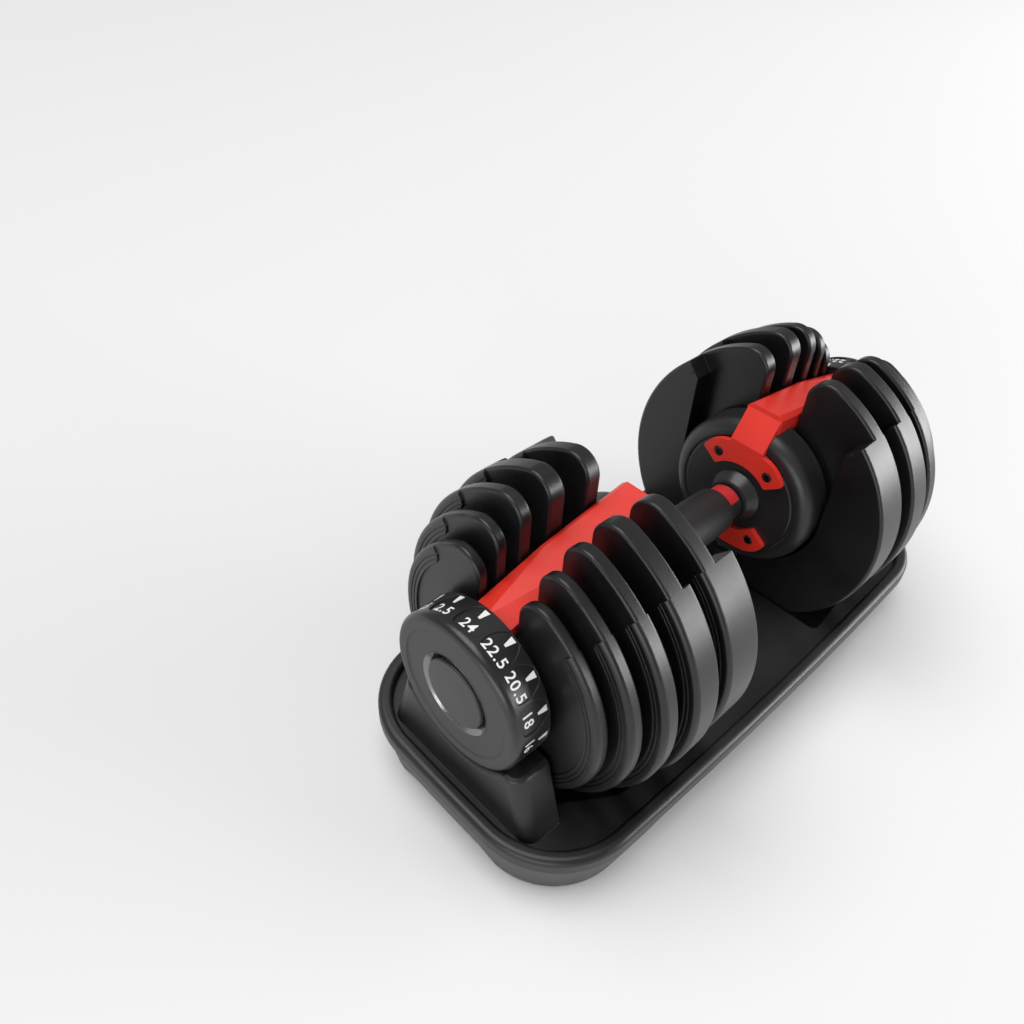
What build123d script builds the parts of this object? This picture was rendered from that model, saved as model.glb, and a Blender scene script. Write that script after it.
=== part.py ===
from build123d import *
from math import cos, radians, sin, sqrt
import os

# Adjustable dumbbell standing in its storage tray.
# Frame: +X along the handle, +Z up, origin on the ground under the middle of the tray.
# Every piece of one head is drawn at the +X end; the -X head is the same set of pieces
# turned half a turn about Z. All lengths are millimetres.

os.makedirs("parts", exist_ok=True)

# ---------------------------------------------------------------- driving dimensions
AXIS_Z = 118.0                 # handle axis above the ground
PLATE_DROP = 3.5               # plate centres hang this far below the handle axis
PLATE_Z = AXIS_Z - PLATE_DROP

# dial and the stack that turns with it
DIAL_FRONT = 200.0
DIAL_BACK = 175.0
DIAL_R = 48.0
CAP_R = 21.2
RING_R = 25.2                  # bright bevelled ring round the cap
SETTINGS = 15                  # numbered positions round the dial
STEP_ANGLE = 360.0 / SETTINGS
PAD_DEPTH = 0.7
TUBE_R = 7.0                   # steel handle tube
TUBE_END = 186.0
SLEEVE_R = 11.0                # sleeve that turns on the tube and carries the discs
RUNNING_FIT = 0.05             # radial clearance of a turning fit
DISC_R = 31.4
FLANGE_IN = 28.2               # inner radius of the lifting flange on a disc
DISC_WEB = 2.2
FLANGE_LONG = 2.6

# housing beside the grip
BOSS_FACE = 53.0
BOSS_BACK = 77.4
BOSS_R = 53.6
SHOULDER = 9.0                 # axial length of the rounded shoulder
SHELL_WALL = 2.6
COVER_THICK = 3.0
SCREW_Y = 19.0                 # bracket screws, from the handle axis
SCREW_Z = 27.4

# grip and necks
GRIP_HALF = 29.0
GRIP_R = 16.4
NECK_R = 12.6
NECK_END = 41.0
FLARE_R = 18.4
INLAY_DEPTH = 0.9
INLAY_LOW = 8.0                # lower edge of the inlay, above the handle axis

# weight plates from the dial inwards: outer and inner face of the rim, radius, faces of
# the thinner web and ears
PLATES = [
    dict(out=171.0, inn=162.6, rad=76.5, web_out=170.0, web_in=163.4),
    dict(out=158.4, inn=149.4, rad=87.5, web_out=157.3, web_in=150.2),
    dict(out=142.6, inn=131.6, rad=95.5, web_out=141.2, web_in=132.8),
    dict(out=122.0, inn=103.0, rad=99.0, web_out=120.4, web_in=108.4),
    dict(out=92.6, inn=66.0, rad=97.5, web_out=91.0, web_in=80.4),
]
EAR_ANGLE = 42.0               # the ears fill the top of a plate to this angle each side
RIM_BAND = 10.0                # width of the raised rim below the ears
EAR_ROUND = 14.0               # rounding of the ears beside the slot
SLOT_GAP = 1.5                 # clearance each side of the bridge in a plate slot
TAB_LOW = 27.2                 # underside of the lifting tab, below the handle axis
TAB_HALF = 4.0
TAB_LONG = 2.8
CHANNEL_R = 56.0               # room for the housing in the thickest plate

# Plates picked up at each setting, 1 beside the dial and 5 beside the grip, in the order
# of the settings round the dial from the heaviest down.
PICKS = [
    (1, 2, 3, 4, 5), (2, 3, 4, 5), (2, 4, 5), (4, 5), (2, 3, 5),
    (2, 5), (5,), (1, 4), (4,), (1, 2, 3),
    (2, 3), (1, 2), (2,), (1,), (),
]
# Discs: plate served, position of the disc web, side that the flange stands on.
DISCS = [(1, 157.9, 1), (2, 144.7, 1), (3, 127.3, 1), (4, 102.9, 1), (5, 94.3, -1)]

# bridge stations: x, half width and height of the top, half width and height of its
# shoulder; heights are measured from the handle axis
BRIDGE = [
    (174.6, 0.8, 46.6, 12.8, 40.8),
    (126.0, 10.6, 54.4, 13.2, 53.0),
    (62.0, 9.6, 65.4, 13.0, 62.4),
]
BRIDGE_LOW = 34.0
STRAP_HALF = 12.4
FLANGE_THICK = 3.4

# tray
TRAY_HALF_X = 212.0
TRAY_HALF_Y = 98.0
TRAY_CORNER = 58.0
SIDE_BOW = 4.8                 # fall of the long sides from their middle to the corners
END_BOW = 1.8                  # the same across the ends
RIM_TOP = 43.4
RIM_WIDE = 9.0
SHELF = 38.0
PARTING = 33.0
TRAY_WALL = 3.0
TUB_WALL = 2.5
POCKET_FLOOR = 7.0
POCKET_IN = 64.2               # end of the plate pocket beside the middle floor
POCKET_PLAN = [(64.2, 80.0), (135.0, 72.0), (168.0, 50.0), (173.4, 47.6)]
CRADLE_GAP = 0.5               # room round each plate in its cradle
SKIRT_LOW = 3.0
FOOT_X = 146.0
FOOT_Y = 81.0
SKIRT_LEAN = 6.0               # the skirt stands this much further in at the ground
BLOCK_OUT = 198.0              # end block that cups the dial
BLOCK_IN = 173.4
BLOCK_HALF_FOOT = 62.0
BLOCK_HALF_TOP = 48.0
BLOCK_TOP = AXIS_Z - 33.0
BLOCK_CORNER = 9.0
SADDLE_R = 50.2

# lock that frees the dial only while the dumbbell stands in the tray
LOCK_TRAVEL = 4.0
WHEEL_X = 62.2
WHEEL_THICK = 3.2
WHEEL_R = 24.0
SLIDE_THICK = 2.4
SLIDE_HALF = 28.4              # half width of the slide frame round the wheel
SLIDE_FOOT = 8.0
SLIDE_REACH = 58.5             # foot of the slide below the handle axis

AXLE = Axis((0, 0, AXIS_Z), (1, 0, 0))


def save(shape, name):
    """Label one finished piece and write its file."""
    shape.label = name
    export_step(shape, f"parts/{name}.step")


def save_pair(part, name):
    """Write a head piece at the +X end and its twin, half a turn about Z, at the -X end."""
    save(part, f"{name}_right")
    save(part.rotate(Axis.Z, 180), f"{name}_left")


def side_plane(x):
    """Plane square to the handle at x, with local x along +Y and local y along +Z."""
    return Plane.YZ.offset(x)


def ring_between(x0, x1, outer, inner=0.0):
    """Plain disc or ring about the handle axis between two stations."""
    with BuildPart() as ring:
        with BuildSketch(side_plane(x0)):
            with Locations((0, AXIS_Z)):
                Circle(outer)
                if inner:
                    Circle(inner, mode=Mode.SUBTRACT)
        extrude(amount=x1 - x0)
    return ring.part


def bridge_half_width(x):
    """Half width of the bridge at a station, straight between the listed stations."""
    for outer, inner in zip(BRIDGE, BRIDGE[1:]):
        if inner[0] <= x <= outer[0]:
            share = (x - inner[0]) / (outer[0] - inner[0])
            return inner[3] + share * (outer[3] - inner[3])
    return BRIDGE[0][3]


# ---------------------------------------------------------------- handle
def handle_tube():
    with BuildPart() as tube:
        with BuildSketch(side_plane(-TUBE_END)):
            with Locations((0, AXIS_Z)):
                Circle(TUBE_R)
                Circle(3.0, mode=Mode.SUBTRACT)
        extrude(amount=2 * TUBE_END)
    save(tube.part, "handle_tube")


def handle_grip():
    """Rubber sleeve, a little fuller in the middle, with rounded ends."""
    low = AXIS_Z + TUBE_R
    high = AXIS_Z + GRIP_R
    with BuildPart() as grip:
        with BuildSketch(Plane.XZ):
            with BuildLine():
                Polyline((-GRIP_HALF, high - 1.0), (-GRIP_HALF, low), (GRIP_HALF, low),
                         (GRIP_HALF, high - 1.0))
                ThreePointArc((GRIP_HALF, high - 1.0), (0, high), (-GRIP_HALF, high - 1.0))
            make_face()
        revolve(axis=AXLE)
        ends = [edge for edge in grip.edges().filter_by(GeomType.CIRCLE) if edge.radius > GRIP_R - 2]
        fillet(ends, 1.8)
    save(grip.part, "handle_grip")


def half_ring(x, outer, inner):
    """Upper part of a ring about the handle axis, where the inlay lies."""
    with BuildSketch(side_plane(x)) as half:
        with Locations((0, AXIS_Z)):
            Circle(outer)
            Circle(inner, mode=Mode.SUBTRACT)
        with Locations((0, AXIS_Z + INLAY_LOW)):
            Rectangle(4 * outer, 3 * outer, align=(Align.CENTER, Align.MAX), mode=Mode.SUBTRACT)
    return half.sketch


def neck_collar():
    """Metal collar: straight neck, a fine groove and ring, then a flare to the housing."""
    base = AXIS_Z + TUBE_R
    neck = AXIS_Z + NECK_R
    with BuildPart() as collar:
        with BuildSketch(Plane.XZ):
            with BuildLine():
                Polyline((GRIP_HALF, base), (GRIP_HALF, neck), (NECK_END, neck),
                         (NECK_END, neck - 1.2), (NECK_END + 1.2, neck - 1.2),
                         (NECK_END + 1.2, neck + 1.6), (NECK_END + 3.0, neck + 1.6))
                ThreePointArc((NECK_END + 3.0, neck + 1.6), (BOSS_FACE - 4.4, neck + 3.8),
                              (BOSS_FACE - 1.4, AXIS_Z + FLARE_R))
                Polyline((BOSS_FACE - 1.4, AXIS_Z + FLARE_R), (BOSS_FACE, AXIS_Z + FLARE_R),
                         (BOSS_FACE, base), (GRIP_HALF, base))
            make_face()
        revolve(axis=AXLE)
        # seat for the coloured inlay on top of the neck
        seat = half_ring(GRIP_HALF + 0.8, NECK_R + 1, NECK_R - INLAY_DEPTH)
        extrude(seat, amount=NECK_END - GRIP_HALF - 1.6, mode=Mode.SUBTRACT)
    save_pair(collar.part, "neck_collar")


def neck_inlay():
    """Coloured half ring let into the neck, with two small sunk dots."""
    with BuildPart() as band:
        strip = half_ring(GRIP_HALF + 0.8, NECK_R, NECK_R - INLAY_DEPTH)
        extrude(strip, amount=NECK_END - GRIP_HALF - 1.6)
        with BuildSketch(Plane.XY.offset(AXIS_Z + NECK_R - 0.5)):
            with Locations((GRIP_HALF + 6.0, -3.2), (GRIP_HALF + 6.0, 3.2)):
                Circle(0.7)
        extrude(amount=2, mode=Mode.SUBTRACT)
    save_pair(band.part, "neck_inlay")


# ---------------------------------------------------------------- inner housing
def screw_points(*signs):
    """Centres of the bracket screws above (+1) and below (-1) the neck."""
    return [(side * SCREW_Y, AXIS_Z + sign * SCREW_Z) for sign in signs for side in (1, -1)]


def housing_outline(back):
    """Half section of the round housing, from the handle axis out to its rim."""
    def at(step, fall):
        return (BOSS_FACE + step, AXIS_Z + BOSS_R - fall)

    with BuildLine() as line:
        Polyline((BOSS_FACE, AXIS_Z), at(0, 12.6), at(0.8, 12.0), at(0.8, 11.0), at(0.4, 10.2), at(0.4, 9.0))
        ThreePointArc(at(0.4, 9.0), at(3.0, 2.8), at(SHOULDER, 0))
        Polyline(at(SHOULDER, 0), (back, AXIS_Z + BOSS_R), (back, AXIS_Z), (BOSS_FACE, AXIS_Z))
    return line.line


def inner_housing():
    """Round shell that faces the grip; it holds the lock wheel and the lock slide."""
    back = BOSS_BACK - COVER_THICK
    inner_face = WHEEL_X - 1.0
    with BuildPart() as shell:
        with BuildSketch(Plane.XZ):
            add(housing_outline(back))
            make_face()
        revolve(axis=AXLE)
        with BuildSketch(side_plane(inner_face)):
            with Locations((0, AXIS_Z)):
                Circle(BOSS_R - SHELL_WALL)
        extrude(amount=back - inner_face, mode=Mode.SUBTRACT)
        with BuildSketch(side_plane(BOSS_FACE)):
            with Locations((0, AXIS_Z)):
                Circle(TUBE_R)
            with Locations(*screw_points(1, -1)):
                Circle(1.5)
        extrude(amount=SHOULDER, mode=Mode.SUBTRACT)
        # slot in the underside for the foot of the lock slide
        with BuildSketch(Plane.XY.offset(AXIS_Z - BOSS_R - 1)):
            with Locations((WHEEL_X + WHEEL_THICK / 2, 0)):
                Rectangle(SLIDE_THICK + 1.0, 2 * SLIDE_FOOT + 1.0)
        extrude(amount=SHELL_WALL + 3, mode=Mode.SUBTRACT)
    save_pair(shell.part, "inner_housing")


def housing_cover():
    """Flat cover that closes the housing on the plate side."""
    with BuildPart() as cover:
        with BuildSketch(side_plane(BOSS_BACK - COVER_THICK)):
            with Locations((0, AXIS_Z)):
                Circle(BOSS_R)
                Circle(SLEEVE_R + 0.5, mode=Mode.SUBTRACT)
        extrude(amount=COVER_THICK)
        outer = [edge for edge in cover.edges().group_by(Axis.X)[-1] if edge.radius > BOSS_R - 1]
        chamfer(outer, 1.0)
    save_pair(cover.part, "housing_cover")


# ---------------------------------------------------------------- coloured bridge and brackets
def flange_face(sign, middle):
    """Flange outline: an arc close round the neck, blunt tips and a taller middle."""
    def at(y, z):
        return (y, AXIS_Z + sign * z)

    with BuildSketch(side_plane(BOSS_FACE - FLANGE_THICK)) as face:
        with BuildLine():
            ThreePointArc(at(-19.2, 17.2), at(0, 26.0), at(19.2, 17.2))
            Line(at(19.2, 17.2), at(31.0, 26.0))
            ThreePointArc(at(31.0, 26.0), at(25.2, 34.0), at(14.0, middle - 1.2))
            ThreePointArc(at(14.0, middle - 1.2), at(0, middle), at(-14.0, middle - 1.2))
            ThreePointArc(at(-14.0, middle - 1.2), at(-25.2, 34.0), at(-31.0, 26.0))
            Line(at(-31.0, 26.0), at(-19.2, 17.2))
        make_face()
        tips = [corner for corner in face.vertices() if abs(corner.X) > SCREW_Y]
        fillet(tips, 2.0)
        with Locations(*screw_points(sign)):
            Circle(1.5, mode=Mode.SUBTRACT)
    return face.sketch


def countersinks(sign):
    """Round sinks for the screw heads in the flange face."""
    with BuildSketch(side_plane(BOSS_FACE - FLANGE_THICK)) as sinks:
        with Locations(*screw_points(sign)):
            Circle(3.6)
    return sinks.sketch


def bridge():
    """Beam over the plates, strap down the housing face and the flange with its screws."""
    face_x = BOSS_FACE - FLANGE_THICK
    with BuildPart() as beam:
        for x, top_half, top, side_half, side in BRIDGE:
            with BuildSketch(side_plane(x)):
                with BuildLine():
                    Polyline((-side_half, AXIS_Z + BRIDGE_LOW), (side_half, AXIS_Z + BRIDGE_LOW),
                             (side_half, AXIS_Z + side), (top_half, AXIS_Z + top),
                             (-top_half, AXIS_Z + top), (-side_half, AXIS_Z + side), close=True)
                make_face()
        loft(ruled=True)
        # strap that falls from the end of the beam over the housing shoulder to its face
        with BuildSketch(Plane.XZ.offset(-STRAP_HALF)):
            with BuildLine():
                Polyline((64.0, AXIS_Z + 62.0), (62.0, AXIS_Z + 62.0), (face_x, AXIS_Z + 42.0),
                         (face_x, AXIS_Z + 30.0), (BOSS_FACE, AXIS_Z + 30.0),
                         (64.0, AXIS_Z + 40.0), close=True)
            make_face()
        extrude(amount=2 * STRAP_HALF)
        extrude(flange_face(1, 40.6), amount=FLANGE_THICK)
        # room for the housing and its cover under the beam and the strap
        with BuildSketch(Plane.XZ):
            add(housing_outline(BOSS_BACK + 0.4))
            make_face()
        revolve(axis=AXLE, mode=Mode.SUBTRACT)
        extrude(countersinks(1), amount=1.2, mode=Mode.SUBTRACT)
    save_pair(beam.part, "bridge")


def lower_bracket():
    """Loose twin of the flange, below the neck."""
    with BuildPart() as bracket:
        extrude(flange_face(-1, 40.0), amount=FLANGE_THICK)
        extrude(countersinks(-1), amount=1.2, mode=Mode.SUBTRACT)
    save_pair(bracket.part, "lower_bracket")


def bracket_screws():
    """Eight pan-head screws with crossed recesses, four on each housing."""
    seat = BOSS_FACE - FLANGE_THICK + 1.2
    head = 1.6
    with BuildPart() as screw:
        with BuildSketch(side_plane(seat - head)):
            Circle(3.1)
        extrude(amount=head)
        rim = screw.edges().group_by(Axis.X)[0]
        fillet(rim, 0.8)
        with BuildSketch(side_plane(seat)):
            Circle(1.5)
        extrude(amount=9.0)
        with BuildSketch(side_plane(seat - head)):
            Rectangle(3.4, 0.7)
            Rectangle(0.7, 3.4)
        extrude(amount=0.9, mode=Mode.SUBTRACT)
    right = [Location((0, y, z)) * screw.part for y, z in screw_points(1, -1)]
    left = [one.rotate(Axis.Z, 180) for one in right]
    save(Compound(children=right + left), "bracket_screws")


def bearing_plate():
    """Fixed plate behind the dial that carries the outer end of the bridge."""
    with BuildPart() as plate:
        with BuildSketch(side_plane(DIAL_BACK - 3.4)):
            with Locations((0, AXIS_Z)):
                Circle(BRIDGE_LOW)
                Rectangle(24.0, BRIDGE_LOW, align=(Align.CENTER, Align.MIN))
                Circle(SLEEVE_R + 0.5, mode=Mode.SUBTRACT)
        extrude(amount=2.6)
    save_pair(plate.part, "bearing_plate")


# ---------------------------------------------------------------- dial and selector stack
def pad_cutter():
    """Pocket in the round band of the dial: broad and rounded in front, narrower behind."""
    back = DIAL_BACK + 0.8
    front = DIAL_FRONT - 4.7
    with BuildPart() as prism:
        with BuildSketch(Plane.XY.offset(AXIS_Z + DIAL_R - 4)):
            with BuildLine():
                Line((back, 3.6), (back, -3.6))
                ThreePointArc((back, -3.6), (back + 7.0, -8.3), (front - 2.4, -8.1))
                ThreePointArc((front - 2.4, -8.1), (front, 0), (front - 2.4, 8.1))
                ThreePointArc((front - 2.4, 8.1), (back + 7.0, 8.3), (back, 3.6))
            make_face()
        extrude(amount=8)
    return ring_between(DIAL_BACK - 1, DIAL_FRONT, DIAL_R + 2, DIAL_R - PAD_DEPTH) & prism.part


def dial():
    """Numbered dial: rounded rim, dished face, recess for the cap and fifteen pads."""
    rim = AXIS_Z + DIAL_R
    hub = AXIS_Z + SLEEVE_R
    with BuildPart() as knob:
        with BuildSketch(Plane.XZ):
            with BuildLine():
                Polyline((DIAL_BACK, hub), (DIAL_BACK, rim - 0.6), (DIAL_BACK + 0.6, rim),
                         (DIAL_FRONT - 4.5, rim))
                ThreePointArc((DIAL_FRONT - 4.5, rim), (DIAL_FRONT - 1.3, rim - 1.3),
                              (DIAL_FRONT, rim - 4.5))
                Polyline((DIAL_FRONT, rim - 4.5), (DIAL_FRONT, rim - 8.6),
                         (DIAL_FRONT - 0.7, rim - 9.6), (DIAL_FRONT - 0.9, AXIS_Z + RING_R),
                         (DIAL_FRONT - 6.0, AXIS_Z + RING_R), (DIAL_FRONT - 6.0, AXIS_Z + CAP_R - 2),
                         (DIAL_FRONT - 13.0, AXIS_Z + CAP_R - 2), (DIAL_FRONT - 13.0, hub),
                         (DIAL_BACK, hub))
            make_face()
        revolve(axis=AXLE)
        pad = pad_cutter()
        for step in range(SETTINGS):
            add(pad.rotate(AXLE, step * STEP_ANGLE), mode=Mode.SUBTRACT)
    save_pair(knob.part, "dial")


def dial_ring():
    """Bright bevelled ring between the dial face and its cap."""
    with BuildPart() as ring:
        with BuildSketch(Plane.XZ):
            with BuildLine():
                Polyline((DIAL_FRONT - 6.0, AXIS_Z + CAP_R + 0.7), (DIAL_FRONT - 6.0, AXIS_Z + RING_R),
                         (DIAL_FRONT - 0.6, AXIS_Z + RING_R), (DIAL_FRONT - 3.4, AXIS_Z + CAP_R + 0.7),
                         close=True)
            make_face()
        revolve(axis=AXLE)
    save_pair(ring.part, "dial_ring")


def dial_cap():
    with BuildPart() as cap:
        with BuildSketch(side_plane(DIAL_FRONT - 6.0)):
            with Locations((0, AXIS_Z)):
                Circle(CAP_R)
        extrude(amount=5.6)
        fillet(cap.edges().group_by(Axis.X)[-1], 1.0)
    save_pair(cap.part, "dial_cap")


def spindle_sleeve():
    """Tube that turns on the handle tube and joins the dial to the selector discs."""
    sleeve = ring_between(WHEEL_X - 0.6, TUBE_END - 0.4, SLEEVE_R, TUBE_R + RUNNING_FIT)
    save_pair(sleeve, "spindle_sleeve")


def retaining_screw():
    """Wide-headed screw in the end of the handle tube that keeps the dial stack on."""
    with BuildPart() as screw:
        with BuildSketch(side_plane(TUBE_END)):
            with Locations((0, AXIS_Z)):
                Circle(10.0)
        extrude(amount=3.0)
        with BuildSketch(side_plane(TUBE_END + 3.0)):
            with Locations((0, AXIS_Z)):
                RegularPolygon(3.0, 6)
        extrude(amount=-2.0, mode=Mode.SUBTRACT)
        with BuildSketch(side_plane(TUBE_END)):
            with Locations((0, AXIS_Z)):
                Circle(3.0)
        extrude(amount=-18.0)
    save_pair(screw.part, "retaining_screw")


def lock_wheel():
    """Wheel with one notch for every setting, fixed on the sleeve inside the housing."""
    with BuildPart() as wheel:
        with BuildSketch(side_plane(WHEEL_X)):
            with Locations((0, AXIS_Z)):
                Circle(WHEEL_R)
                Circle(SLEEVE_R, mode=Mode.SUBTRACT)
                with PolarLocations(WHEEL_R, SETTINGS, start_angle=90):
                    Rectangle(6.0, 4.0, mode=Mode.SUBTRACT)
        extrude(amount=WHEEL_THICK)
    save_pair(wheel.part, "lock_wheel")


def flange_sector(x, middle):
    """One setting's worth of lifting flange, as a face round the given angle."""
    def at(radius, angle):
        return (radius * cos(radians(angle)), AXIS_Z + radius * sin(radians(angle)))

    first = middle - STEP_ANGLE / 2
    last = middle + STEP_ANGLE / 2
    with BuildSketch(side_plane(x)) as sector:
        with BuildLine():
            ThreePointArc(at(DISC_R, first), at(DISC_R, middle), at(DISC_R, last))
            Line(at(DISC_R, last), at(FLANGE_IN, last))
            ThreePointArc(at(FLANGE_IN, last), at(FLANGE_IN, middle), at(FLANGE_IN, first))
            Line(at(FLANGE_IN, first), at(DISC_R, first))
        make_face()
    return sector.sketch


def selector_disc(number, web_x, toward):
    """Disc with a raised flange over every setting that picks its plate up.

    toward is 1 when the flange points away from the grip and -1 when it points to it.
    """
    start = web_x + DISC_WEB if toward > 0 else web_x - FLANGE_LONG
    with BuildPart() as disc:
        with BuildSketch(side_plane(web_x)):
            with Locations((0, AXIS_Z)):
                Circle(DISC_R)
                Circle(SLEEVE_R, mode=Mode.SUBTRACT)
        extrude(amount=DISC_WEB)
        for place, picked in enumerate(PICKS):
            if number not in picked:
                continue
            extrude(flange_sector(start, 270.0 - place * STEP_ANGLE), amount=FLANGE_LONG)
    save_pair(disc.part, f"selector_disc_{number}")


# ---------------------------------------------------------------- lock slide
def lock_slide():
    """Frame round the lock wheel: a tooth above the wheel and a foot below the housing."""
    x0 = WHEEL_X + (WHEEL_THICK - SLIDE_THICK) / 2
    tooth_tip = WHEEL_R + LOCK_TRAVEL + 0.6
    with BuildPart() as slide:
        with BuildSketch(side_plane(x0)):
            with Locations((0, AXIS_Z)):
                Rectangle(2 * SLIDE_HALF, 74.0)
                Rectangle(2 * SLIDE_HALF - 7.0, 66.0, mode=Mode.SUBTRACT)
            with Locations((0, AXIS_Z + 35.0)):
                Rectangle(3.4, 35.0 - tooth_tip, align=(Align.CENTER, Align.MAX))
            with Locations((0, AXIS_Z - 35.0)):
                Rectangle(2 * SLIDE_FOOT, SLIDE_REACH - 35.0, align=(Align.CENTER, Align.MAX))
        extrude(amount=SLIDE_THICK)
    save_pair(slide.part, "lock_slide")


def lock_spring():
    """Round coil between the roof of the housing and the top of the slide, as its envelope."""
    top = sqrt((BOSS_R - SHELL_WALL) ** 2 - 16) - 0.2
    with BuildPart() as spring:
        with BuildSketch(Plane.XY.offset(AXIS_Z + 37.0)):
            with Locations((WHEEL_X + WHEEL_THICK / 2, 0)):
                Circle(2.3)
                Circle(1.5, mode=Mode.SUBTRACT)
        extrude(amount=top - 37.0)
    save_pair(spring.part, "lock_spring")


# ---------------------------------------------------------------- weight plates
def plate_outline(x, radius, slot_half):
    """Round plate with the open slot from the top and rounded ears beside it."""
    with BuildSketch(side_plane(x)) as outline:
        with Locations((0, PLATE_Z)):
            Circle(radius)
        with Locations((0, AXIS_Z)):
            Circle(slot_half, mode=Mode.SUBTRACT)
            Rectangle(2 * slot_half, 2 * radius, align=(Align.CENTER, Align.MIN), mode=Mode.SUBTRACT)
        mouth = [corner for corner in outline.vertices() if corner.Y > PLATE_Z + 0.8 * radius]
        fillet(mouth, EAR_ROUND)
    return outline.sketch


def rim_sector(x, radius, band):
    """Raised rim below the ears, its ends swept out to the edge in an S."""
    reach = 2 * radius
    side = reach * sin(radians(EAR_ANGLE))
    rise = reach * cos(radians(EAR_ANGLE))
    with BuildSketch(side_plane(x)) as sector:
        with Locations((0, PLATE_Z)):
            Circle(radius)
            Circle(radius - band, mode=Mode.SUBTRACT)
        with BuildLine():
            Polyline((0, PLATE_Z), (side, PLATE_Z + rise), (-side, PLATE_Z + rise), close=True)
        make_face(mode=Mode.SUBTRACT)
        inner_ends = [corner for corner in sector.vertices()
                      if abs(Vector(corner.X, corner.Y - PLATE_Z).length - radius + band) < 0.1]
        fillet(inner_ends, 0.6 * band)
    return sector.sketch


def rim_ring(plate):
    """Raised rim as a solid with a rounded edge on both faces and two fine grooves."""
    with BuildPart() as ring:
        extrude(rim_sector(plate["inn"], plate["rad"], RIM_BAND), amount=plate["out"] - plate["inn"])
        outer = [edge for edge in ring.edges().filter_by(GeomType.CIRCLE)
                 if abs(edge.radius - plate["rad"]) < 0.01]
        fillet([edge for edge in outer if edge.center().X > plate["out"] - 0.1], 3.0)
        fillet([edge for edge in outer if edge.center().X < plate["inn"] + 0.1], 2.0)
        with BuildSketch(side_plane(plate["out"] - 0.5)):
            with Locations((0, PLATE_Z)):
                for inset in (5.0, 7.4):
                    Circle(plate["rad"] - inset)
                    Circle(plate["rad"] - inset - 0.8, mode=Mode.SUBTRACT)
        extrude(amount=1, mode=Mode.SUBTRACT)
    return ring.part


def lifting_tab(plate, outward):
    """Small block under the slot that a disc flange lifts."""
    start = plate["web_out"] if outward else plate["web_in"] - TAB_LONG
    with BuildPart() as tab:
        with BuildSketch(side_plane(start)):
            with Locations((0, AXIS_Z - TAB_LOW)):
                Rectangle(2 * TAB_HALF, 6.0, align=(Align.CENTER, Align.MIN))
        extrude(amount=TAB_LONG)
    return tab.part


def weight_plate(number):
    plate = PLATES[number - 1]
    slot_half = bridge_half_width(plate["out"]) + SLOT_GAP
    with BuildPart() as body:
        outline = plate_outline(plate["web_in"], plate["rad"], slot_half)
        extrude(outline, amount=plate["web_out"] - plate["web_in"])
        flat_edges = body.edges().group_by(Axis.X)[0] + body.edges().group_by(Axis.X)[-1]
        fillet(flat_edges, 1.8)
        add(rim_ring(plate))
        if number == len(PLATES):
            add(channel_body(plate))
        add(lifting_tab(plate, outward=number == len(PLATES)))
    save_pair(body.part, f"weight_plate_{number}")


def channel_body(plate):
    """Extra thickness of the plate beside the grip, with the channel for the housing."""
    reach = 2 * plate["rad"]
    side = reach * sin(radians(EAR_ANGLE))
    rise = reach * cos(radians(EAR_ANGLE))
    with BuildPart() as thick:
        with BuildSketch(side_plane(plate["inn"])):
            with Locations((0, PLATE_Z)):
                Circle(plate["rad"])
            with BuildLine():
                Polyline((0, PLATE_Z), (side, PLATE_Z + rise), (-side, PLATE_Z + rise), close=True)
            make_face(mode=Mode.SUBTRACT)
            with Locations((0, AXIS_Z)):
                Circle(CHANNEL_R, mode=Mode.SUBTRACT)
                Rectangle(2 * CHANNEL_R, reach, align=(Align.CENTER, Align.MIN), mode=Mode.SUBTRACT)
        extrude(amount=plate["web_in"] - plate["inn"] + 1.0)
        outer = [edge for edge in thick.edges().group_by(Axis.X)[0].filter_by(GeomType.CIRCLE)
                 if abs(edge.radius - plate["rad"]) < 0.01]
        fillet(outer, 2.6)
        with BuildSketch(side_plane(plate["inn"])):
            with Locations((0, PLATE_Z)):
                Circle(plate["rad"] - 8.0)
                Circle(plate["rad"] - 8.8, mode=Mode.SUBTRACT)
        extrude(amount=0.6, mode=Mode.SUBTRACT)
    return thick.part


# ---------------------------------------------------------------- tray
def both_ends(points):
    """The same plan points at both ends of the tray."""
    return [(sign * x, y) for sign in (1, -1) for x, y in points]


def screw_plan():
    """Plan of the six screws that join the two mouldings of the tray."""
    return both_ends([(196.0, 40.0), (196.0, -40.0)]) + [(0, 86.5), (0, -86.5)]


def tray_outline(z, inset, lean=0.0):
    """Outline of the tray with gently bowed sides, drawn in by a wall and by the skirt's lean."""
    half_x = TRAY_HALF_X - inset - lean
    half_y = TRAY_HALF_Y - inset - lean
    corner_x = half_x - END_BOW
    corner_y = half_y - SIDE_BOW
    with BuildSketch(Plane.XY.offset(z)) as outline:
        with BuildLine():
            ThreePointArc((-corner_x, -corner_y), (0, -half_y), (corner_x, -corner_y))
            ThreePointArc((corner_x, -corner_y), (half_x, 0), (corner_x, corner_y))
            ThreePointArc((corner_x, corner_y), (0, half_y), (-corner_x, corner_y))
            ThreePointArc((-corner_x, corner_y), (-half_x, 0), (-corner_x, -corner_y))
        make_face()
        fillet(outline.vertices(), TRAY_CORNER - inset - lean)
    return outline.sketch


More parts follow.
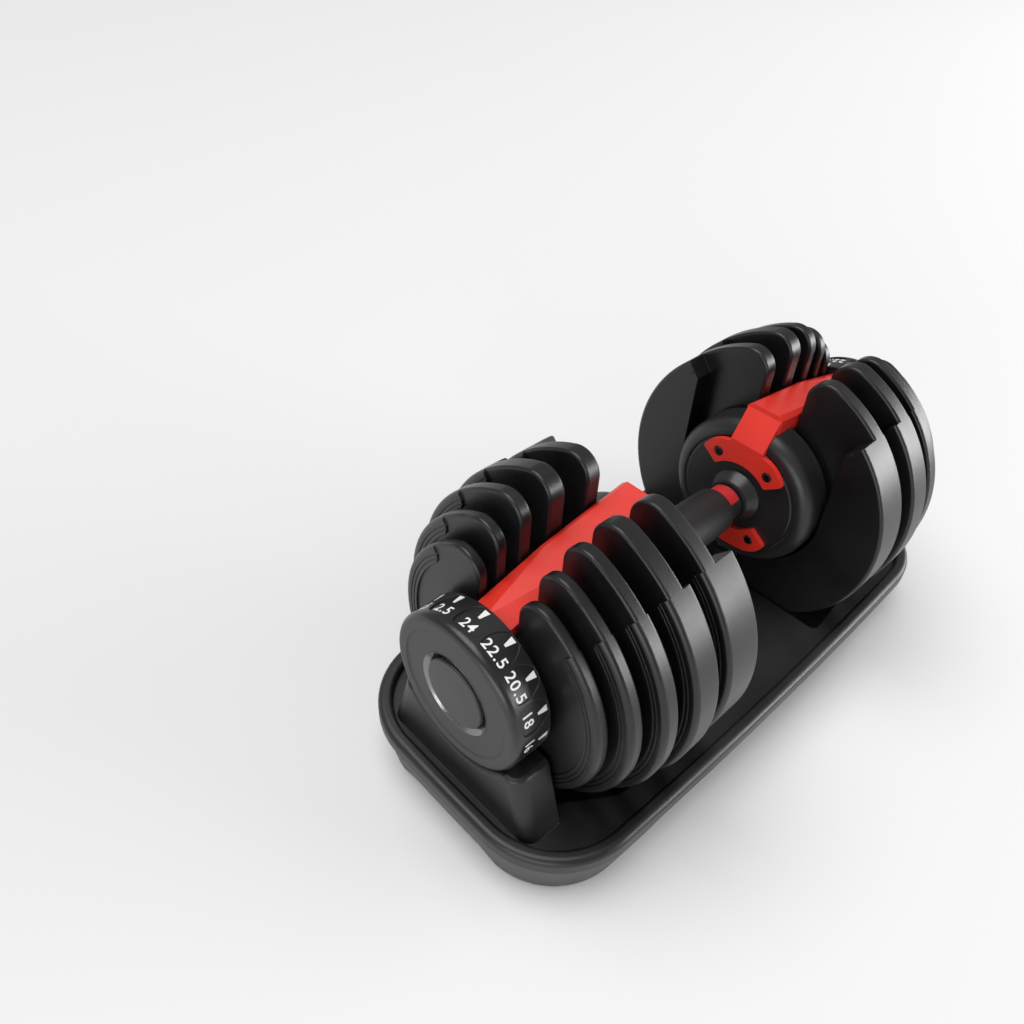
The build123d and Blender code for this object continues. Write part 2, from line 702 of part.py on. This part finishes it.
def pocket_outline(z, grow):
    """Plan of one plate pocket, wider towards the grip; grow adds a wall round it."""
    corners = [(x, y) for x, y in POCKET_PLAN] + [(x, -y) for x, y in reversed(POCKET_PLAN)]
    with BuildSketch(Plane.XY.offset(z)) as plan:
        with BuildLine():
            Polyline(*corners, close=True)
        make_face()
        near_grip = [corner for corner in plan.vertices() if corner.X < POCKET_IN + 1]
        fillet(near_grip, 5.0)
        if grow:
            offset(amount=grow, kind=Kind.INTERSECTION)
    return plan.sketch


def end_block():
    """Block at the end of the tray whose hollow top follows the underside of the dial."""
    middle = (BLOCK_OUT + BLOCK_IN) / 2
    with BuildPart() as block:
        for z, half in ((PARTING + 2, BLOCK_HALF_FOOT), (BLOCK_TOP, BLOCK_HALF_TOP)):
            with BuildSketch(Plane.XY.offset(z)) as plan:
                with Locations((middle, 0)):
                    Rectangle(BLOCK_OUT - BLOCK_IN, 2 * half)
                fillet(plan.vertices().group_by(Axis.X)[-1], BLOCK_CORNER)
        loft()
        with BuildSketch(side_plane(BLOCK_IN - 1)):
            with Locations((0, AXIS_Z)):
                Circle(SADDLE_R)
        extrude(amount=BLOCK_OUT - BLOCK_IN + 2, mode=Mode.SUBTRACT)
        crest = [edge for edge in block.edges() if edge.center().Z > SHELF + 10
                 and edge.center().X > BLOCK_OUT - 12 and abs(edge.tangent_at(0.5).Z) < 0.9]
        fillet(crest, 3.6)
        with BuildSketch(Plane.XY.offset(PARTING)):
            with Locations((middle, 0)):
                Rectangle(BLOCK_OUT - BLOCK_IN - 2 * TRAY_WALL, 90.0)
        extrude(amount=AXIS_Z - SADDLE_R - TRAY_WALL - PARTING - 2, mode=Mode.SUBTRACT)
    return block.part


def cradle(plate):
    """Grooved rest for one plate, standing on the pocket floor."""
    low = PLATE_Z - plate["rad"]
    high = max(low + 3.0, min(low + 9.0, SHELF - 1.0))
    middle = (plate["out"] + plate["inn"]) / 2
    with BuildPart() as rest:
        with BuildSketch(Plane.XY.offset(POCKET_FLOOR - 1)):
            with Locations((middle, 0)):
                Rectangle(plate["out"] - plate["inn"] + 3.8, 64.0)
        extrude(amount=high - POCKET_FLOOR + 1)
        with BuildSketch(side_plane(plate["inn"] - CRADLE_GAP)):
            with Locations((0, PLATE_Z)):
                Circle(plate["rad"] + CRADLE_GAP)
        extrude(amount=plate["out"] - plate["inn"] + 2 * CRADLE_GAP, mode=Mode.SUBTRACT)
    return rest.part


def release_post():
    """Upright rib on the middle floor that pushes the lock slide up."""
    middle = WHEEL_X + WHEEL_THICK / 2
    with BuildPart() as post:
        with BuildSketch(Plane.XY.offset(SHELF - 1)):
            with Locations((POCKET_IN - 0.2, 0)):
                Rectangle(6.0, 14.0, align=(Align.MAX, Align.CENTER))
        extrude(amount=AXIS_Z - SLIDE_REACH - 0.1 - SHELF + 1)
        fillet(post.edges().filter_by(Axis.Z), 1.0)
    return post.part


def tray_half(part, turned):
    """One end's piece, or the same piece turned round to the other end."""
    return part.rotate(Axis.Z, 180) if turned else part


def base_tray():
    """Upper moulding: rolled rim, flat floor, two stepped pockets and the end blocks."""
    with BuildPart() as tray:
        extrude(tray_outline(PARTING, 0), amount=RIM_TOP - PARTING)
        fillet(tray.edges().group_by(Axis.Z)[-1], 4.2)
        extrude(tray_outline(SHELF, RIM_WIDE), amount=20, mode=Mode.SUBTRACT)
        inner_edge = [edge for edge in tray.edges() if edge.center().Z > RIM_TOP - 0.01]
        fillet(inner_edge, 2.6)
        extrude(tray_outline(PARTING, TRAY_WALL), amount=SHELF - TRAY_WALL - PARTING,
                mode=Mode.SUBTRACT)
        for turned in (False, True):
            tub = extrude(pocket_outline(POCKET_FLOOR - TRAY_WALL, TUB_WALL),
                          amount=SHELF - 1 - POCKET_FLOOR + TRAY_WALL, mode=Mode.PRIVATE)
            add(tray_half(tub, turned))
            add(tray_half(end_block(), turned))
            pocket = extrude(pocket_outline(POCKET_FLOOR, 0), amount=SHELF, mode=Mode.PRIVATE)
            add(tray_half(pocket, turned), mode=Mode.SUBTRACT)
            for plate in PLATES:
                add(tray_half(cradle(plate), turned))
            add(tray_half(release_post(), turned))
        with BuildSketch(Plane.XY.offset(SHELF - TRAY_WALL)):
            with Locations(*screw_plan()):
                Circle(4.5)
        extrude(amount=-(SHELF - TRAY_WALL - 29.0))
        with BuildSketch(Plane.XY.offset(29.0)):
            with Locations(*screw_plan()):
                Circle(1.5)
        extrude(amount=6.0, mode=Mode.SUBTRACT)
    save(tray.part, "base_tray")


def base_skirt():
    """Lower moulding: leaning wall with feet at the corners and an arch along each side."""
    with BuildPart() as skirt:
        for inset, mode in ((1.5, Mode.ADD), (1.5 + TRAY_WALL, Mode.SUBTRACT)):
            loft([tray_outline(SKIRT_LOW, inset, SKIRT_LEAN), tray_outline(PARTING, inset)], mode=mode)
        # flat sole that takes the feet
        with BuildSketch(Plane.XY.offset(SKIRT_LOW)):
            add(tray_outline(SKIRT_LOW, 2.5, SKIRT_LEAN))
            add(tray_outline(SKIRT_LOW, 14.0, SKIRT_LEAN), mode=Mode.SUBTRACT)
        extrude(amount=TRAY_WALL)
        # lugs for the screws
        with BuildSketch(Plane.XY.offset(26.0)):
            with Locations(*both_ends([(197.4, 40.0), (197.4, -40.0)])):
                Rectangle(20.0, 12.0)
            with Locations((0, 86.6), (0, -86.6)):
                Rectangle(12.0, 14.0)
        extrude(amount=3.0)
        with BuildSketch(Plane.XY.offset(26.0)):
            with Locations(*screw_plan()):
                Circle(1.5)
        extrude(amount=3.0, mode=Mode.SUBTRACT)
        # arch along the long sides, lower arch across the ends
        with BuildSketch(Plane.XZ.offset(-TRAY_HALF_Y - 5)):
            with BuildLine():
                Polyline((-126.0, 0), (-122.0, 4.0), (-92.0, 19.0), (92.0, 19.0), (122.0, 4.0),
                         (126.0, 0), close=True)
            make_face()
        extrude(amount=2 * TRAY_HALF_Y + 10, mode=Mode.SUBTRACT)
        with BuildSketch(side_plane(-TRAY_HALF_X - 5)):
            with BuildLine():
                Polyline((-46.0, 0), (-42.0, 4.0), (-30.0, 11.0), (30.0, 11.0), (42.0, 4.0),
                         (46.0, 0), close=True)
            make_face()
        extrude(amount=2 * TRAY_HALF_X + 10, mode=Mode.SUBTRACT)
    save(skirt.part, "base_skirt")


def rubber_feet():
    """Four rubber pads under the sole."""
    with BuildPart() as feet:
        with BuildSketch():
            with GridLocations(2 * FOOT_X, 2 * FOOT_Y, 2, 2):
                RectangleRounded(30.0, 8.0, 3.0)
        extrude(amount=SKIRT_LOW)
        fillet(feet.edges().group_by(Axis.Z)[0], 0.8)
    save(feet.part, "rubber_feet")


def base_screws():
    """Six screws, driven from below, that hold the skirt to the tray."""
    with BuildPart() as screws:
        for z, radius, long in ((24.0, 2.8, 2.0), (26.0, 1.5, 8.0)):
            with BuildSketch(Plane.XY.offset(z)):
                with Locations(*screw_plan()):
                    Circle(radius)
            extrude(amount=long)
        with BuildSketch(Plane.XY.offset(24.0)):
            with Locations(*screw_plan()):
                Rectangle(3.0, 0.6)
                Rectangle(0.6, 3.0)
        extrude(amount=0.9, mode=Mode.SUBTRACT)
    save(screws.part, "base_screws")


if __name__ == "__main__":
    base_tray()
    base_skirt()
    rubber_feet()
    base_screws()
    handle_tube()
    handle_grip()
    neck_collar()
    neck_inlay()
    inner_housing()
    housing_cover()
    bridge()
    lower_bracket()
    bracket_screws()
    bearing_plate()
    dial()
    dial_ring()
    dial_cap()
    spindle_sleeve()
    retaining_screw()
    lock_wheel()
    for number, web_x, toward in DISCS:
        selector_disc(number, web_x, toward)
    lock_slide()
    lock_spring()
    for number in range(1, len(PLATES) + 1):
        weight_plate(number)
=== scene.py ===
import math

import bmesh
import bpy
from mathutils import Matrix, Vector


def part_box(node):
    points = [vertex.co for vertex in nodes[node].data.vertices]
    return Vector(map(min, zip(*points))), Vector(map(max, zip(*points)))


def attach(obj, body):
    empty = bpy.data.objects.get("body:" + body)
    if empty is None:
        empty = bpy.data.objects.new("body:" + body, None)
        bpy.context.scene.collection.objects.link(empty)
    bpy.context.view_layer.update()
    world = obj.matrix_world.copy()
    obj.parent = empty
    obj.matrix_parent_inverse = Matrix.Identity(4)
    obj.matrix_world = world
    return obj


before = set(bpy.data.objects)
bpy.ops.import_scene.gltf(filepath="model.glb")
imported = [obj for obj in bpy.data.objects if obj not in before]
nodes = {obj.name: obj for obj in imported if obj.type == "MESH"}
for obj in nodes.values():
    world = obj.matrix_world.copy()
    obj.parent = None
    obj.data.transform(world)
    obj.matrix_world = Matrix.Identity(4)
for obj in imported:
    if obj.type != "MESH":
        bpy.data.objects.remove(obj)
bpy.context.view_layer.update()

MM = 0.001
SIDES = ("left", "right")
LABELS = ["24", "22.5", "20.5", "18", "16", "13.5", "11.5", "10", "9", "8", "6.5", "5.5",
          "4.5", "3.5", "2.5"]
STEP = math.radians(360 / len(LABELS))      # turn of the dial from one setting to the next

PAD_DEPTH = 0.7 * MM            # depth of the number pads below the dial's largest radius
BAND_DEPTH = 1.4 * MM           # depth below that radius at which the band's painted shade and gloss are full
BAND_FADE = 1.2 * MM            # width over which it fades out further in

MARK_THICK = 0.16 * MM          # numbers and pointers stand this proud of their pads
TEXT_SIZE = 8.8 * MM
TEXT_BOLDER = 0.012             # widening of each stroke, as a share of the text size
TEXT_SPACING = 1.12
TEXT_AT = 10.6 * MM             # middle of the number behind the dial's front
WEDGE_AT = 20.2 * MM            # middle of the pointer behind the dial's front
WEDGE_LENGTH = 6.2 * MM
WEDGE_WIDE = 3.8 * MM
WEDGE_NARROW = 1.5 * MM
WELD = 0.002 * MM               # letter corners closer than this are one corner

METAL_GRAIN = 900.0
GLOSS_SPREAD = 0.08             # roughness of a moulded surface varies by this much

FLOOR_HALF = 9.0
SENSOR_MM = 36.0
LENS_MM = 30.36

dial_low, dial_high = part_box("dial_right")
DIAL_AXIS = (dial_low[2] + dial_high[2]) / 2
DIAL_RADIUS = (dial_high[2] - dial_low[2]) / 2
DIAL_BAND = DIAL_RADIUS - BAND_DEPTH


def box_of(node):
    low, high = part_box(node)
    return Vector(low), Vector(high)


# ---------------------------------------------------------------- material helpers
class Graph:
    """Small wrapper that builds one material's node tree."""

    def __init__(self, name):
        self.material = bpy.data.materials.new(name)
        self.material.use_nodes = True
        self.tree = self.material.node_tree
        self.shader = self.tree.nodes["Principled BSDF"]

    def node(self, kind, **inputs):
        made = self.tree.nodes.new(kind)
        for key, value in inputs.items():
            made.inputs[key.replace("_", " ")].default_value = value
        return made

    def link(self, out, socket):
        self.tree.links.new(out, socket)

    def coordinates(self):
        return self.tree.nodes.new("ShaderNodeTexCoord").outputs["Object"]

    def noise(self, scale, detail, roughness, where=None):
        made = self.node("ShaderNodeTexNoise", Scale=scale, Detail=detail, Roughness=roughness)
        self.link(where or self.coordinates(), made.inputs["Vector"])
        return made.outputs["Fac"]

    def spread(self, value, low, high, to_low, to_high):
        """The value carried from the range low to high over to to_low to to_high."""
        made = self.tree.nodes.new("ShaderNodeMapRange")
        self.link(value, made.inputs["Value"])
        for key, number in (("From Min", low), ("From Max", high), ("To Min", to_low),
                            ("To Max", to_high)):
            made.inputs[key].default_value = number
        return made.outputs["Result"]

    def blend(self, factor, first, second):
        made = self.tree.nodes.new("ShaderNodeMix")
        made.data_type = "RGBA"
        self.link(factor, made.inputs["Factor"])
        for socket, colour in ((made.inputs["A"], first), (made.inputs["B"], second)):
            if isinstance(colour, tuple):
                socket.default_value = (*colour, 1.0)
            else:
                self.link(colour, socket)
        return made.outputs["Result"]

    def add_share(self, first, second, share):
        """first plus share times second."""
        made = self.tree.nodes.new("ShaderNodeMath")
        made.operation = "MULTIPLY_ADD"
        self.link(second, made.inputs[0])
        made.inputs[1].default_value = share
        self.link(first, made.inputs[2])
        return made.outputs["Value"]

    def offset(self, value, number):
        made = self.tree.nodes.new("ShaderNodeMath")
        made.operation = "ADD"
        self.link(value, made.inputs[0])
        made.inputs[1].default_value = number
        return made.outputs["Value"]

    def length(self, first, second):
        """Distance from the origin of a point given by two coordinates."""
        joined = self.tree.nodes.new("ShaderNodeCombineXYZ")
        self.link(first, joined.inputs[0])
        self.link(second, joined.inputs[1])
        made = self.tree.nodes.new("ShaderNodeVectorMath")
        made.operation = "LENGTH"
        self.link(joined.outputs[0], made.inputs[0])
        return made.outputs["Value"]

    def bump(self, height, distance, strength=1.0, rounding=0.0):
        """Fine relief; rounding softens the edges of the solid by that radius."""
        made = self.node("ShaderNodeBump", Strength=strength, Distance=distance)
        self.link(height, made.inputs["Height"])
        if rounding:
            soft = self.tree.nodes.new("ShaderNodeBevel")
            soft.samples = 4
            soft.inputs["Radius"].default_value = rounding
            self.link(soft.outputs["Normal"], made.inputs["Normal"])
        self.link(made.outputs["Normal"], self.shader.inputs["Normal"])

    def surface(self, **values):
        for key, value in values.items():
            self.shader.inputs[key.replace("_", " ")].default_value = value


def moulded(name, dark, light, roughness, grain=1400.0, depth=0.04 * MM, rounding=0.5 * MM):
    """Moulded or coated surface: fine grain, cloudy gloss and faint handling marks."""
    g = Graph(name)
    cloud = g.noise(scale=9.0, detail=5.0, roughness=0.6)
    smudge = g.noise(scale=38.0, detail=3.0, roughness=0.5)
    speck = g.noise(scale=grain, detail=2.0, roughness=0.7)
    tone = g.spread(g.add_share(cloud, smudge, 0.6), 0.55, 1.05, 0.0, 1.0)
    g.link(g.blend(tone, dark, light), g.shader.inputs["Base Color"])
    gloss = g.spread(g.add_share(cloud, speck, 0.35), 0.45, 0.9,
                     roughness - GLOSS_SPREAD, roughness + GLOSS_SPREAD)
    g.link(gloss, g.shader.inputs["Roughness"])
    g.bump(speck, depth, rounding=rounding)
    return g.material


def metal(name, dark, light, roughness):
    """Bare or plated metal with fine turned or drawn marks."""
    g = Graph(name)
    stretch = g.node("ShaderNodeMapping", Scale=(1.0, 0.08, 1.0))
    g.link(g.coordinates(), stretch.inputs["Vector"])
    marks = g.noise(METAL_GRAIN, detail=3.0, roughness=0.6, where=stretch.outputs["Vector"])
    cloud = g.noise(scale=25.0, detail=4.0, roughness=0.6)
    g.link(g.blend(cloud, dark, light), g.shader.inputs["Base Color"])
    gloss = g.spread(marks, 0.3, 0.7, roughness - 0.07, roughness + 0.1)
    g.link(gloss, g.shader.inputs["Roughness"])
    g.surface(Metallic=1.0)
    g.bump(marks, 0.01 * MM, strength=0.6, rounding=0.2 * MM)
    return g.material


def dial_surface():
    """Dial moulding: satin front whose lighter grey is painted light, glossier band under the
    numbers whose darker tone is painted shade.

    Both dials share one axis, so the distance from it tells the band from the front.
    """
    g = Graph("dial_black")
    where = g.tree.nodes.new("ShaderNodeSeparateXYZ")
    g.link(g.coordinates(), where.inputs[0])
    height = g.offset(where.outputs["Z"], -DIAL_AXIS)
    reach = g.length(where.outputs["Y"], height)
    band = g.spread(reach, DIAL_BAND - BAND_FADE, DIAL_BAND, 0.0, 1.0)
    cloud = g.noise(scale=14.0, detail=4.0, roughness=0.6)
    speck = g.noise(scale=1900.0, detail=2.0, roughness=0.7)
    # painted light: the front gets a lighter grey than the band, standing in for the light it
    # reflects
    front_painted_light = g.blend(cloud, (0.019, 0.019, 0.021), (0.029, 0.029, 0.031))
    # painted shade: the number band gets a darker black than the front
    band_painted_shade = g.blend(cloud, (0.008, 0.008, 0.009), (0.014, 0.014, 0.015))
    g.link(g.blend(band, front_painted_light, band_painted_shade), g.shader.inputs["Base Color"])
    gloss = g.spread(band, 0.0, 1.0, 0.44, 0.26)
    g.link(g.add_share(gloss, cloud, 0.08), g.shader.inputs["Roughness"])
    g.bump(speck, 0.02 * MM, rounding=0.5 * MM)
    return g.material


# ---------------------------------------------------------------- materials
tray_black = moulded("tray_black", (0.004, 0.004, 0.004), (0.009, 0.009, 0.009), 0.38,
                     grain=1500.0, depth=0.07 * MM, rounding=0.9 * MM)
skirt_grey = moulded("skirt_grey", (0.040, 0.040, 0.043), (0.062, 0.062, 0.066), 0.52,
                     grain=1500.0, depth=0.07 * MM, rounding=0.8 * MM)
foot_rubber = moulded("foot_rubber", (0.020, 0.020, 0.020), (0.032, 0.031, 0.030), 0.78)
screw_black = metal("screw_black", (0.030, 0.030, 0.032), (0.060, 0.060, 0.064), 0.36)
steel = metal("bare_steel", (0.42, 0.42, 0.43), (0.56, 0.56, 0.57), 0.28)
zinc = metal("zinc_steel", (0.34, 0.34, 0.35), (0.46, 0.46, 0.46), 0.38)
spring_steel = metal("spring_steel", (0.40, 0.40, 0.41), (0.55, 0.55, 0.56), 0.22)
chrome = metal("ring_bright", (0.20, 0.20, 0.21), (0.28, 0.28, 0.29), 0.22)
grip_rubber = moulded("grip_rubber", (0.008, 0.008, 0.009), (0.014, 0.014, 0.015), 0.55,
                      grain=2200.0, depth=0.08 * MM, rounding=0.6 * MM)
collar_black = moulded("collar_black", (0.014, 0.014, 0.015), (0.024, 0.024, 0.026), 0.30,
                       grain=1800.0, depth=0.01 * MM, rounding=0.3 * MM)
inlay_red = moulded("inlay_red", (0.46, 0.020, 0.022), (0.54, 0.028, 0.030), 0.40,
                    grain=1800.0, depth=0.02 * MM, rounding=0.3 * MM)
housing_black = moulded("housing_black", (0.011, 0.011, 0.012), (0.019, 0.019, 0.020), 0.38,
                        grain=1600.0, depth=0.03 * MM, rounding=0.6 * MM)
bridge_red = moulded("bridge_red", (0.70, 0.026, 0.015), (0.76, 0.036, 0.022), 0.40,
                     grain=1700.0, depth=0.03 * MM, rounding=0.7 * MM)
dial_black = dial_surface()
cap_black = moulded("cap_black", (0.012, 0.012, 0.014), (0.019, 0.019, 0.021), 0.36,
                    grain=1900.0, depth=0.02 * MM, rounding=0.4 * MM)
inner_grey = moulded("inner_grey", (0.10, 0.10, 0.11), (0.14, 0.14, 0.15), 0.45)
plate_coat = moulded("plate_coat", (0.003, 0.003, 0.004), (0.008, 0.008, 0.009), 0.36,
                     grain=1300.0, depth=0.06 * MM, rounding=0.6 * MM)
marking = moulded("marking_white", (0.78, 0.78, 0.77), (0.86, 0.86, 0.85), 0.45,
                  rounding=0.0)

BY_NODE = {
    "base_tray": tray_black, "base_skirt": skirt_grey, "rubber_feet": foot_rubber,
    "base_screws": screw_black, "handle_tube": steel, "handle_grip": grip_rubber,
    "bracket_screws": screw_black, "neck_collar": collar_black, "neck_inlay": inlay_red,
    "inner_housing": housing_black, "housing_cover": housing_black, "bridge": bridge_red,
    "lower_bracket": bridge_red, "bearing_plate": zinc, "retaining_screw": screw_black,
    "lock_spring": spring_steel, "lock_slide": zinc, "lock_wheel": zinc, "dial": dial_black,
    "dial_ring": chrome, "dial_cap": cap_black, "spindle_sleeve": inner_grey,
    "selector_disc": inner_grey, "weight_plate": plate_coat,
}


def paint_cad_nodes():
    """Give each CAD piece its material by its name without side and number."""
    for name, piece in nodes.items():
        stem = name
        for side in SIDES:
            stem = stem.removesuffix(f"_{side}")
        stem = stem.rstrip("0123456789").rstrip("_")
        material = BY_NODE[stem]
        if not piece.data.materials:
            piece.data.materials.append(material)
        for slot in piece.material_slots:
            slot.material = material


# ---------------------------------------------------------------- dial markings
def text_mesh(text):
    """Flat number reading along +x with its top towards +y."""
    curve = bpy.data.curves.new("number", "FONT")
    curve.body = text
    curve.size = TEXT_SIZE
    curve.extrude = MARK_THICK / 2
    curve.offset = TEXT_SIZE * TEXT_BOLDER
    curve.space_character = TEXT_SPACING
    curve.align_x = "CENTER"
    curve.align_y = "CENTER"
    holder = bpy.data.objects.new("number", curve)
    bpy.context.scene.collection.objects.link(holder)
    bpy.context.view_layer.update()
    made = bpy.data.meshes.new_from_object(holder)
    bpy.data.objects.remove(holder)
    bpy.data.curves.remove(curve)
    return made


def add_number(bm, text):
    """Number as triangles, its outline centred at TEXT_AT."""
    letters = text_mesh(text)
    bm.from_mesh(letters)
    bpy.data.meshes.remove(letters)
    bmesh.ops.remove_doubles(bm, verts=bm.verts, dist=WELD)
    bmesh.ops.triangulate(bm, faces=bm.faces)
    spans = [v.co.x for v in bm.verts]
    heights = [v.co.y for v in bm.verts]
    shift = Vector(((max(spans) + min(spans)) / 2, (max(heights) + min(heights)) / 2, 0))
    for v in bm.verts:
        v.co -= shift
        v.co.y += TEXT_AT


def add_wedge(bm):
    """Trapezoid pointer centred at WEDGE_AT, wide end towards +y."""
    near = WEDGE_AT - WEDGE_LENGTH / 2
    far = WEDGE_AT + WEDGE_LENGTH / 2
    corners = ((-WEDGE_NARROW / 2, near), (WEDGE_NARROW / 2, near),
               (WEDGE_WIDE / 2, far), (-WEDGE_WIDE / 2, far))
    low, high = [[bm.verts.new((x, y, z)) for x, y in corners]
                 for z in (-MARK_THICK / 2, MARK_THICK / 2)]
    bm.faces.new(list(reversed(low)))
    bm.faces.new(high)
    for i in range(4):
        j = (i + 1) % 4
        bm.faces.new((low[i], low[j], high[j], high[i]))


def wrap_on_dial(bm, side, place):
    """Bend flat marks onto the pad of one setting.

    Flat x runs round the dial and flat y from its front towards the handle. The left
    head is the right one turned half a turn about Z.
    """
    low, high = box_of(f"dial_{side}")
    axis_z = (low.z + high.z) / 2
    outward = 1 if side == "right" else -1
    front = high.x if side == "right" else low.x
    pad = (high.z - low.z) / 2 - PAD_DEPTH
    for v in bm.verts:
        turn = place * STEP + v.co.x / pad
        reach = pad + v.co.z + MARK_THICK / 2
        v.co = Vector((front - outward * v.co.y, outward * reach * math.sin(turn),
                       axis_z + reach * math.cos(turn)))


def dial_markings(side):
    """Fifteen numbers and pointers wrapped onto the pads of one dial."""
    total = bmesh.new()
    scratch = bpy.data.meshes.new("scratch")
    for place, label in enumerate(LABELS):
        part = bmesh.new()
        add_number(part, label)
        add_wedge(part)
        wrap_on_dial(part, side, place)
        part.to_mesh(scratch)
        part.free()
        total.from_mesh(scratch)
    bpy.data.meshes.remove(scratch)
    bmesh.ops.recalc_face_normals(total, faces=total.faces)
    mesh = bpy.data.meshes.new(f"dial_numbers_{side}")
    total.to_mesh(mesh)
    total.free()
    piece = bpy.data.objects.new(f"dial_numbers_{side}", mesh)
    bpy.context.scene.collection.objects.link(piece)
    mesh.materials.append(marking)
    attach(piece, f"dial_stack_{side}")


# ---------------------------------------------------------------- stage, light and camera
def pale_floor():
    g = Graph("floor_pale")
    cloud = g.noise(scale=1.2, detail=3.0, roughness=0.5)
    colour = g.blend(cloud, (0.715, 0.715, 0.715), (0.725, 0.725, 0.725))
    g.link(colour, g.shader.inputs["Base Color"])
    g.surface(Roughness=0.9, Specular_IOR_Level=0.1)
    mesh = bpy.data.meshes.new("floor")
    corners = [(-FLOOR_HALF, -FLOOR_HALF, 0), (FLOOR_HALF, -FLOOR_HALF, 0),
               (FLOOR_HALF, FLOOR_HALF, 0), (-FLOOR_HALF, FLOOR_HALF, 0)]
    mesh.from_pydata(corners, [], [(0, 1, 2, 3)])
    mesh.materials.append(g.material)
    floor = bpy.data.objects.new("floor", mesh)
    bpy.context.scene.collection.objects.link(floor)


def aim(thing, place, target):
    """Put a light at a place, shining at the target."""
    thing.location = place
    thing.rotation_euler = (Vector(target) - Vector(place)).to_track_quat("-Z", "Y").to_euler()


def soft_sun(name, come_from, strength, width):
    """Sun as wide as the given angle in degrees."""
    light = bpy.data.lights.new(name, "SUN")
    light.energy = strength
    light.angle = math.radians(width)
    holder = bpy.data.objects.new(name, light)
    bpy.context.scene.collection.objects.link(holder)
    aim(holder, come_from, (0, 0, 0))


def softbox(name, place, target, size, power):
    light = bpy.data.lights.new(name, "AREA")
    light.shape = "RECTANGLE"
    light.size, light.size_y = size
    light.energy = power
    holder = bpy.data.objects.new(name, light)
    bpy.context.scene.collection.objects.link(holder)
    aim(holder, place, target)


def lights():
    world = bpy.data.worlds.new("studio")
    bpy.context.scene.world = world
    world.use_nodes = True
    sky = world.node_tree.nodes["Background"]
    sky.inputs["Color"].default_value = (1.0, 1.0, 1.0, 1.0)
    sky.inputs["Strength"].default_value = 0.36
    soft_sun("key_light", come_from=(-0.45, 0.55, 2.4), strength=2.25, width=52)
    middle = (0, 0, 0.1)
    softbox("right_box", (3.0, -2.6, 0.8), middle, size=(4.0, 1.4), power=170)
    softbox("left_box", (-3.0, -1.4, 0.8), middle, size=(3.0, 1.3), power=45)


def camera():
    """Camera at the photograph's viewing angle, from the fitted position and bearing."""
    place = Vector((-0.3799, -0.2123, 0.4885))
    azimuth = math.radians(-45.54)
    elevation = math.radians(41.04)
    roll = math.radians(3.28)
    forward = Vector((-math.sin(azimuth) * math.cos(elevation),
                      math.cos(azimuth) * math.cos(elevation), -math.sin(elevation)))
    side = forward.cross(Vector((0, 0, 1))).normalized()
    above = side.cross(forward)
    right = side * math.cos(roll) + above * math.sin(roll)
    up = above * math.cos(roll) - side * math.sin(roll)
    lens = bpy.data.cameras.new("camera")
    lens.sensor_width = SENSOR_MM
    lens.lens = LENS_MM
    lens.clip_start = 0.01
    holder = bpy.data.objects.new("camera", lens)
    bpy.context.scene.collection.objects.link(holder)
    turn = Matrix((right, up, -forward)).transposed().to_4x4()
    holder.matrix_world = Matrix.Translation(place) @ turn
    bpy.context.scene.camera = holder


paint_cad_nodes()
for side in SIDES:
    dial_markings(side)
pale_floor()
lights()
camera()
bpy.context.scene.view_settings.view_transform = "Standard"
